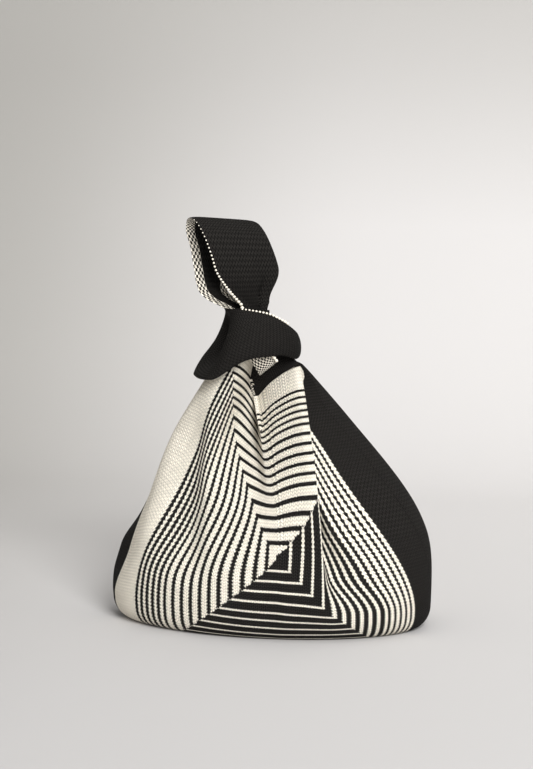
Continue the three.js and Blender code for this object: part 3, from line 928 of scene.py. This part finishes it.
def plied_yarn(name, path, closed, material):
    """Two tubes that wind round a path (points, 3): each ply's centre turns about the path once every PLY_TURN."""
    _, side, lift = frame_along(slope(path, closed), (0, 0, 1) if closed else SEAM_ASIDE)
    run = run_along(path)
    turns = max(1, round(run[-1] / PLY_TURN))
    phase = 2 * np.pi * turns * (np.arange(len(path)) / len(path) if closed else run / run[-1])
    around = np.arange(PLY_SIDES) * 2 * np.pi / PLY_SIDES
    points, faces = [], []
    for ply in (0, np.pi):
        swing = PLY_SWING * (np.cos(phase + ply)[:, None] * side + np.sin(phase + ply)[:, None] * lift)
        profile = np.cos(around)[None, :, None] * side[:, None] + np.sin(around)[None, :, None] * lift[:, None]
        ring = (path + swing)[:, None] + PLY_RADIUS * profile
        start = sum(len(part) for part in points)
        index = start + np.arange(len(path) * PLY_SIDES).reshape(-1, PLY_SIDES)
        if not closed:
            faces += [index[0].tolist(), index[-1, ::-1].tolist()]
        index = np.pad(index, ((0, int(closed)), (0, 1)), "wrap")
        faces += quads(index[:-1, :-1], index[:-1, 1:], index[1:, 1:], index[1:, :-1]).tolist()
        points.append(ring.reshape(-1, 3))
    print(name, "faces:", len(faces))
    return new_object(name, np.concatenate(points) * MM, faces, material)


# %% [markdown]
# The yarn's material is spun cotton: matt, with fine fibres, drawn here by noise on Object coordinates.

# %% Yarn materials
FIBRE_PITCH = 0.5
FIBRE_DETAIL = 2.0
FIBRE_TONES = {"To Min": 0.8, "To Max": 1.15}
FIBRE_DEPTH = 0.2
FIBRE_BUMP = 0.5
YARN_ROUGHNESS = 0.85
YARN_GLOSS = 0.2

yarns = {}
for yarn_name, yarn_colour in (("black_spun_cotton", BLACK_YARN), ("cream_spun_cotton", CREAM_YARN)):
    yarns[yarn_name], tree, shader = new_material(yarn_name, YARN_ROUGHNESS, YARN_GLOSS)
    place = add(tree, "TexCoord").node.outputs["Object"]
    fibre = add(tree, "TexNoise", None, {"Vector": place, "Scale": 1 / (FIBRE_PITCH * MM), "Detail": FIBRE_DETAIL})
    shade = add(tree, "MapRange", None, {"Value": fibre, **FIBRE_TONES})
    colour = add(tree, "VectorMath", {"operation": "SCALE"}, {0: linear(yarn_colour)[:3], "Scale": shade})
    bump = add(tree, "Bump", None, {"Strength": FIBRE_BUMP, "Distance": FIBRE_DEPTH * MM, "Height": fibre})
    tree.links.new(colour, shader.inputs["Base Color"])
    tree.links.new(bump, shader.inputs["Normal"])
print("yarns:", list(yarns))

# %% Linking yarn in the seams
SEAM_END = 0.96
SEAM_POINTS = 240
BASE_SEAM_POINTS = 620
yarn_depth = KNIT_THICKNESS + SEAM_GAP + YARN_RADIUS
seam_heights = np.linspace(0, SEAM_END, SEAM_POINTS)
base_path = oval_at(np.linspace(0, girth, BASE_SEAM_POINTS, endpoint=False), FOOT_INSET + SEAM_GAP)
base_path[:, 2] = yarn_depth
seam_paths = {}
for seam_name, seam_arc in (
    ("front_left", front_left), ("front_right", front_right), ("back_right", back_right), ("back_left", back_left),
):
    columns = pouch_at(*np.meshgrid(seam_arc + np.array([-1.0, 0, 1]), seam_heights, indexing="ij"))
    seam_paths[seam_name] = columns[1] - yarn_depth * normals_of(columns)[1]
seam_paths["base"] = base_path
for seam_name, path in seam_paths.items():
    seam_name += "_linking_yarn"
    seam = plied_yarn(seam_name + "_ply", path, path is base_path, yarns["black_spun_cotton"])
    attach(seam, "pouch")
    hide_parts(seam_name)

# %% [markdown]
# ## The short strap as a collar
# Pulled tight round the neck, the short strap becomes a collar: high where the long strap leaves it, dipping to a
# rounded nose on the right and flaring into a hanging flap on the left. It is a ring of rounded-square outlines, one
# at the foot and one at the top, with a belly between them. Its cross-section is a flat oval, so that both
# edges are soft.

# %% Collar
RING_TOP = 264
RING_FOOT = 224
RING_THICKNESS = 4.6
RING_NOSE_DROP = 17
RING_FLAP_DROP = 13
RING_FLARE = 22
RING_FRONT_RISE = 6
RING_TOP_RISE = 4
RING_BACK_DROP = 8
RING_BELLY = 3
RING_SQUARENESS = 3
NOSE_START = -20
NOSE_POWER = 2.2
EDGE_SQUARENESS = 6
EDGE_LEAST = 0.004
RING_COLUMNS = 220
RING_ROWS = 41

# Where round the ring each form is, and how wide a bell curve it fades by.
FLARE_ANGLE, FLARE_SPREAD = math.radians(176), 0.7
FRONT_ANGLE, FRONT_SPREAD = 1.57 * math.pi, 0.5
RISE_ANGLE, RISE_SPREAD = math.radians(238), 0.6
flap_angles = np.radians([118, 168, 218, 268])
back_angles = np.radians([10, 60, 120, 165])
ring_top = {"x": -9, "y": -3, "right": 28, "left": 31, "front": 30, "back": 30}
ring_foot = {"x": -12, "y": -4, "right": 33, "left": 53, "front": 42, "back": 43}


def rounded_square(size, angle):
    """A superellipse with its own reach on each of the four sides."""
    cos, sin = (np.sign(value) * np.abs(value) ** (2 / RING_SQUARENESS) for value in (np.cos(angle), np.sin(angle)))
    x = size["x"] + cos * np.where(cos > 0, size["right"], size["left"])
    y = size["y"] + sin * np.where(sin > 0, size["back"], size["front"])
    return np.stack([x, y, np.zeros_like(x)], -1)


def outwards_at(angle):
    """Unit directions away from the ring's axis."""
    return np.stack([np.cos(angle), np.sin(angle), np.zeros_like(angle)], -1)


def collar_at(angle, rise):
    """Outer face of the collar: a straight share between the foot and top outlines, pushed out by a belly."""
    foot, top = rounded_square(ring_foot, angle), rounded_square(ring_top, angle)
    drop = np.maximum(RING_FLAP_DROP * hump(angle, *flap_angles), RING_BACK_DROP * hump(angle, *back_angles))
    foot[..., 2] = RING_FOOT - drop + RING_FRONT_RISE * bell(angle, FRONT_ANGLE, FRONT_SPREAD)
    nose = np.clip((top[..., 0] - NOSE_START) / (ring_top["x"] + ring_top["right"] - NOSE_START), 0, 1)
    top[..., 2] = RING_TOP + RING_TOP_RISE * bell(angle, RISE_ANGLE, RISE_SPREAD) - RING_NOSE_DROP * nose**NOSE_POWER
    belly = 4 * (RING_BELLY - RING_FLARE * bell(angle, FLARE_ANGLE, FLARE_SPREAD)) * rise * (1 - rise)
    share = rise[..., None]
    return turned(foot * (1 - share) + top * share + belly[..., None] * outwards_at(angle))


def soft_edge(across, thickness):
    """Thickness of a strip that is rounded at both edges: across runs from -1 to 1."""
    return thickness * np.maximum(1 - np.abs(across) ** EDGE_SQUARENESS, EDGE_LEAST) ** 0.5


ring_rows = 0.5 - 0.5 * np.cos(np.pi * np.linspace(0, 1, RING_ROWS))
ring_angle, ring_rise = np.meshgrid(np.arange(RING_COLUMNS) * 2 * np.pi / RING_COLUMNS, ring_rows, indexing="ij")
collar_face = collar_at(ring_angle, ring_rise)
collar_thickness = soft_edge(2 * ring_rise - 1, RING_THICKNESS)
collar_face -= normals_of(collar_face, True) * ((RING_THICKNESS - collar_thickness) / 2)[..., None]
ring_middle = collar_face[:, RING_ROWS // 2]
ring_v = run_along(np.concatenate([ring_middle, ring_middle[:1]])) / COURSE
ring_u = (ring_rows - 0.5) * STRAP_WIDTH / WALE
collar_stitches = np.stack(np.meshgrid(ring_v, ring_u, indexing="ij")[::-1], -1)
collar = sheet("short_handle_collar", collar_face, collar_stitches, collar_thickness, knit["strap_cotton_knit"], True)
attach(collar, "pouch")
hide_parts("short_handle_ring")

# %% [markdown]
# ## The long strap
# The long strap leaves the neck as two ends, lies doubled in the collar and opens above it as the carrying
# loop. Its edges are rounded, its face is black and its reverse checked. The loop is a path in the plane that a hand
# goes through, up the near leg, over the crown and down the far leg, with the strap's width set across it. Near the
# collar the strap is gathered: its plain middle folds away first and the two checked borders stay.

# %% Loop
STEM_X = -16
STEM_Y = -3
STRAP_TURN = math.radians(24)
STRAP_THICKNESS = 3.2
LOOP_PIVOT = 269
LOOP_HEIGHT = 71
LOOP_LEAN = 28
LEAN_POWER = 0.9
NEAR_FOOT = 24
FAR_FOOT = 27
NEAR_OPENS = (-8, 32)
FAR_OPENS = (8, 60)
NEAR_TO_FAR = (5, 7)
CROWN_TILT = 0.1
CREASE_DEPTH = 3.5
CREASE_PLACE = 0.5
CREASE_SPREAD = 0.16
CREASE_LEVELS = (-6, 2, 8, 36)
LOOP_STEP = 12
LOOP_POINTS = 181
LOOP_COLUMNS = 49

# The far leg's shift across the strap at levels above the pinch, and the near leg's outline through it and above it.
far_shifts = np.array([
    (-8, -4), (-4, -10), (0, -17.5), (4, -24), (10, -28),
    (16, -25.8), (29, -16.2), (46, -4.8), (60, -2.5), (72, -2.5),
], float)
near_side = np.array([(-4.6, -6.2), (-5.6, 6), (-11.2, 22.7), (-13.4, 41), (-10.3, 59), (-5, 67), (0, 69.4)])
loop_outline = np.concatenate([near_side, (near_side * (-1, 1))[-2::-1]])
strap_axis = np.array([math.cos(STRAP_TURN), math.sin(STRAP_TURN), 0])
strap_facing = np.array([-math.sin(STRAP_TURN), math.cos(STRAP_TURN), 0])


def strap_point(across, through, level):
    """A point by its place across the strap, through it, and above the pinch."""
    place = np.array([STEM_X, STEM_Y, LOOP_PIVOT]) + across[..., None] * strap_axis
    place = place + through[..., None] * strap_facing
    place[..., 2] += level
    return turned(place)


def loop_at(along, across):
    """Middle surface of the loop. along counts the outline's points and across runs from -1 to 1. The border keeps
    its width and the middle of the strap closes up towards the pinch."""
    through, level = np.moveaxis(spline(loop_outline, along), -1, 0)
    far = smoothstep(along, *NEAR_TO_FAR)
    open_share = smoothstep(level, *NEAR_OPENS) * (1 - far) + smoothstep(level, *FAR_OPENS) * far
    middle_half = STRAP_WIDTH / 2 - CHECK_BORDER
    foot_half = (NEAR_FOOT * (1 - far) + FAR_FOOT * far) / 2 - CHECK_BORDER
    half = foot_half + (middle_half - foot_half) * open_share
    place = across * STRAP_WIDTH / 2
    border = np.sign(place) * np.maximum(np.abs(place) - middle_half, 0)
    folded = np.clip(place, -middle_half, middle_half) * half / middle_half + border
    lean = LOOP_LEAN * np.maximum(level / LOOP_HEIGHT, 0) ** LEAN_POWER
    shift = far * spline(far_shifts, np.interp(level, far_shifts[:, 0], np.arange(len(far_shifts))))[..., 1]
    crease = CREASE_DEPTH * bell(across, CREASE_PLACE, CREASE_SPREAD) * (1 - far) * hump(level, *CREASE_LEVELS)
    tilt = CROWN_TILT * folded * np.clip(level / LOOP_HEIGHT, 0, 1)
    return strap_point(folded - lean + shift, through + crease, level - tilt)


loop_along = np.linspace(0, len(loop_outline) - 1, LOOP_POINTS)
loop_across = np.sin(np.linspace(-np.pi / 2, np.pi / 2, LOOP_COLUMNS))
along_grid, across_grid = np.meshgrid(loop_along, loop_across)
loop_middle = loop_at(along_grid, across_grid)
loop_thickness = soft_edge(across_grid, STRAP_THICKNESS)
loop_face = loop_middle + normals_of(loop_middle) * loop_thickness[..., None] / 2
loop_stitches = np.stack([across_grid * STRAP_WIDTH / 2 / WALE, along_grid * LOOP_STEP / COURSE], -1)
loop = sheet("long_handle_loop_strap", loop_face, loop_stitches, loop_thickness, knit["strap_cotton_knit"])
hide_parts("long_handle_loop")
pinch = strap_point(np.array(0.0), np.array(0.0), np.array(0.0)) * MM
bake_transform(loop)

# %% [markdown]
# ## Legs in the collar and ends at the neck
# Below the loop the strap's two legs lie flat against each other inside the collar. Under the collar each leg opens
# out to the rim it was knitted on to. A leg or an end is one strip: its lower edge, its upper edge, and between them
# a quadratic Bezier curve that leaves the rim upright.

# %% Strips
STEM_FOOT = 238
STEM_LAYER = 6
STEM_WIDTH = 34
STEM_APART = STEM_LAYER / 2 + 0.15
STEM_TOP_LEVEL = -6.4
STEM_TOP_SHARE = 0.85
STEM_THICKNESS = STEM_LAYER - 1.4
RIPPLE = 0.7
ROOT_RISE = 4
SEAT_GAP = 0.4
STRIP_POINTS = 41


def strip(name, low, high, rise, thickness, width, centre=0):
    """A strip between two edges (points, 3) with soft sides. For its stitches, width is how much of the strap's width
    it is, and centre is where on the strap its middle lies."""
    share = np.linspace(0, 1, STRIP_POINTS)[None, :, None]
    bend = low + (0, 0, rise)
    middle = (1 - share) ** 2 * low[:, None] + 2 * share * (1 - share) * bend[:, None] + share**2 * high[:, None]
    side = np.sin(np.linspace(-np.pi / 2, np.pi / 2, len(low)))[:, None]
    thick = soft_edge(np.broadcast_to(side, middle.shape[:2]), thickness)
    face = middle + normals_of(middle) * thick[..., None] / 2
    length = np.linalg.norm(high - low, axis=-1).mean()
    stitches = np.stack(np.broadcast_arrays((centre + side * width / 2) / WALE, share[..., 0] * length / COURSE), -1)
    return sheet(name, face, stitches, thick, knit["strap_cotton_knit"])


across_share = np.sin(np.linspace(-np.pi / 2, np.pi / 2, STRIP_POINTS))
stem_ripple = RIPPLE * np.cos(3 * np.pi * across_share)
for side, stem_name in ((-1, "front"), (1, "back")):
    edge = across_share * STEM_WIDTH / 2 * -side
    through = side * STEM_APART + stem_ripple
    low = strap_point(edge, through, np.full_like(edge, STEM_FOOT - LOOP_PIVOT))
    high = strap_point(edge * STEM_TOP_SHARE, through, np.full_like(edge, STEM_TOP_LEVEL))
    stem = strip(f"long_handle_{stem_name}_leg", low, high, 0, STEM_THICKNESS, STRAP_WIDTH)
    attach(stem, "strap_stem")
    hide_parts(f"long_handle_{stem_name}_stem")

# %% Ends on the rim
FRONT_END_LIFT = 0.6
SHORT_END_RISE = 0.7
share_across = (across_share + 1) / 2


def rim_at(arc, lift):
    """Middle of the rim at arcs round the neck, raised by a lift."""
    columns = pouch_at(*np.meshgrid(arc, np.array([0.96, 0.98, 1.0]), indexing="ij"))
    return columns[:, -1] - normals_of(columns)[:, -1] * KNIT_THICKNESS / 2 + (0, 0, lift)


def collar_seat(from_angle, to_angle, rise):
    """A line inside the collar at a share of its height, between two angles in degrees, for a strap end to lie on."""
    angle = np.radians(from_angle + (to_angle - from_angle) * share_across)
    columns = collar_at(*np.meshgrid(angle, rise + np.array([-0.02, 0, 0.02]), indexing="ij"))
    inset = RING_THICKNESS + SEAT_GAP + STRAP_THICKNESS / 2
    return columns[:, 1] - normals_of(columns)[:, 1] * inset


def stem_seat(side):
    """A line just under a leg of the strap, in front for -1 or behind for 1, for a strap end to lie on."""
    level = np.full_like(across_share, STEM_FOOT - LOOP_PIVOT - SEAM_GAP - STRAP_THICKNESS / 2)
    return strap_point(-side * across_share * STEM_WIDTH / 2, np.full_like(level, side * STEM_APART), level)


seat_lift = SEAT_GAP + STRAP_THICKNESS / 4
front_seat, back_seat = collar_seat(196, 232, SHORT_END_RISE), collar_seat(132, 168, SHORT_END_RISE)

# Each end has the arcs between which it leaves the rim, the line that it reaches, and how much higher it starts.
ends = {
    "long_handle_front": (14.0, 60.0, stem_seat(-1), FRONT_END_LIFT),
    "long_handle_back": (back_right + 4, back_right + 0.3 * back_span, stem_seat(1), 0),
    "short_handle_front": (front_left + 5, FRONT_MIDDLE - 0.79 * FRONT_LEFT, front_seat, 0),
    "short_handle_back": (back_left + 2, back_left + 0.6 * GUSSET_WIDTH, back_seat, 0),
}
for end_name, (from_arc, to_arc, high, lift) in ends.items():
    low = rim_at(from_arc + (to_arc - from_arc) * share_across, seat_lift + lift)
    end = strip(end_name + "_end", low, high, ROOT_RISE, STRAP_THICKNESS, STRAP_WIDTH)
    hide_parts(end_name + "_root")
    if end_name.startswith("long"):
        tuple(low.mean(0) * MM)
        tuple(high.mean(0) * MM)
        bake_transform(end)
    else:
        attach(end, "pouch")

# %% [markdown]
# ## Picot edge
# Along the strap's selvage the cream backing yarn turns over the edge at every few rows and shows as a row of small
# cream loops. Each is a bead of 24 faces, a cube of three points a side blown up to a ball and stretched along the
# edge.

# %% Bead
lattice = np.array([-1, 0, 1])
ball = np.stack(np.meshgrid(lattice, lattice, lattice, indexing="ij"), -1).reshape(-1, 3)
index = np.arange(27).reshape(3, 3, 3)
ball_faces = []
for axis in range(3):
    for end in (0, 2):
        plate = np.take(index, end, axis)
        plate = plate if (end == 2) == (axis != 1) else plate.T
        ball_faces.append(quads(plate[:-1, :-1], plate[1:, :-1], plate[1:, 1:], plate[:-1, 1:]))

# The lattice's middle point is left out, and the others are numbered anew.
kept = np.delete(np.arange(27), 13)
ball_faces = np.searchsorted(kept, np.concatenate(ball_faces))
ball = unit(ball[kept])
print("bead points and faces:", len(ball), len(ball_faces))

# %% Picot loops
BEAD_FACING = (0.2, -0.95, 0.1)
LOOP_BEAD_PITCH = 3.3
RING_BEAD_PITCH = 2.9
RING_EDGE_OUT = 0.8
RING_EDGE_DROP = 1.0
ring_edge_angles = np.radians(np.linspace(238, 302, 120))


def picots(name, path, pitch, first_size, last_size):
    """Beads every pitch along a path (points, 3), with half-sizes along it and across it at the row's two ends."""
    run = run_along(path)
    places = np.arange(pitch / 2, run[-1], pitch)
    centre = np.stack([np.interp(places, run, path[:, k]) for k in range(3)], -1)
    share = (places / run[-1])[:, None]
    size = np.array(first_size) * (1 - share) + np.array(last_size) * share
    frames = zip(frame_along(slope(centre), BEAD_FACING), (0, 1, 1))
    points = centre[:, None] + sum(ball[None, :, [k]] * (frame * size[:, [j]])[:, None]
                                   for k, (frame, j) in enumerate(frames))
    faces = ball_faces[None] + len(ball) * np.arange(len(places))[:, None, None]
    return finish_mesh(name, points.reshape(-1, 3), faces.reshape(-1, 4), yarns["cream_spun_cotton"])


near_along = np.linspace(5.6, 0.25, 200)
near_edge = loop_at(near_along, np.full_like(near_along, -1.0))
loop_picots = picots("long_handle_picot_edge", near_edge, LOOP_BEAD_PITCH, (0.4, 0.35), (1.7, 1.5))
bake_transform(loop_picots)

collar_edge = collar_at(ring_edge_angles, np.ones_like(ring_edge_angles))
collar_edge += RING_EDGE_OUT * outwards_at(ring_edge_angles) - (0, 0, RING_EDGE_DROP)
collar_picots = picots("short_handle_picot_edge", collar_edge, RING_BEAD_PITCH, (0.8, 0.7), (1.5, 1.1))
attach(collar_picots, "pouch")
print("picots:", [len(row.data.vertices) // len(ball) for row in (loop_picots, collar_picots)])

# %% [markdown]
# ## The turned edge
# In the notch of the neck one border of the long strap turns over, so a corner of its checked reverse shows under the
# collar. It is one more strip, from a short line low in the notch to a wide one behind the collar, wound
# the other way round so that its reverse is in front.

# %% Turned edge
TURNED_WIDTH = 20
TURNED_BEADS = 0.75
BEAD_SEAT = (0.6, -1.2, 0)
turned_low = np.array([(13.8, -36.0, 224.4), (-2.3, -30.0, 211.6)])
turned_high = np.array([(5.6, -44.0, 237.9), (-11.7, -45.0, 235.1)])


def between(ends, share):
    """Points of the straight line between two ends at shares of its length."""
    return ends[0] + (ends[1] - ends[0]) * share[:, None]


turned_middle = (STRAP_WIDTH + TURNED_WIDTH) / 2 - CHECK_BORDER
turned_edge = strip("long_handle_turned_edge", between(turned_low, share_across), between(turned_high, share_across),
                    0, STRAP_THICKNESS / 2, TURNED_WIDTH, turned_middle)
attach(turned_edge, "pouch")
turned_side = between((turned_low[0], turned_high[0]), np.linspace(0, TURNED_BEADS, 30)) + BEAD_SEAT
turned_picots = picots("long_handle_turned_picot_edge", turned_side, RING_BEAD_PITCH, (1.6, 1.3), (1.6, 1.3))
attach(turned_picots, "pouch")

# %% [markdown]
# ## The cloth's flat sizes
# Every knitted piece is a sheet, so the size each has when it is laid flat is taken from its own grid and printed.
# The pouch is gathered, its base lies flat, and the straps are folded over.

# %% Cloth
for name, (width, length, area) in flat_sizes.items():
    print(name, "flat in mm:", round(width / MM), "by", round(length / MM))
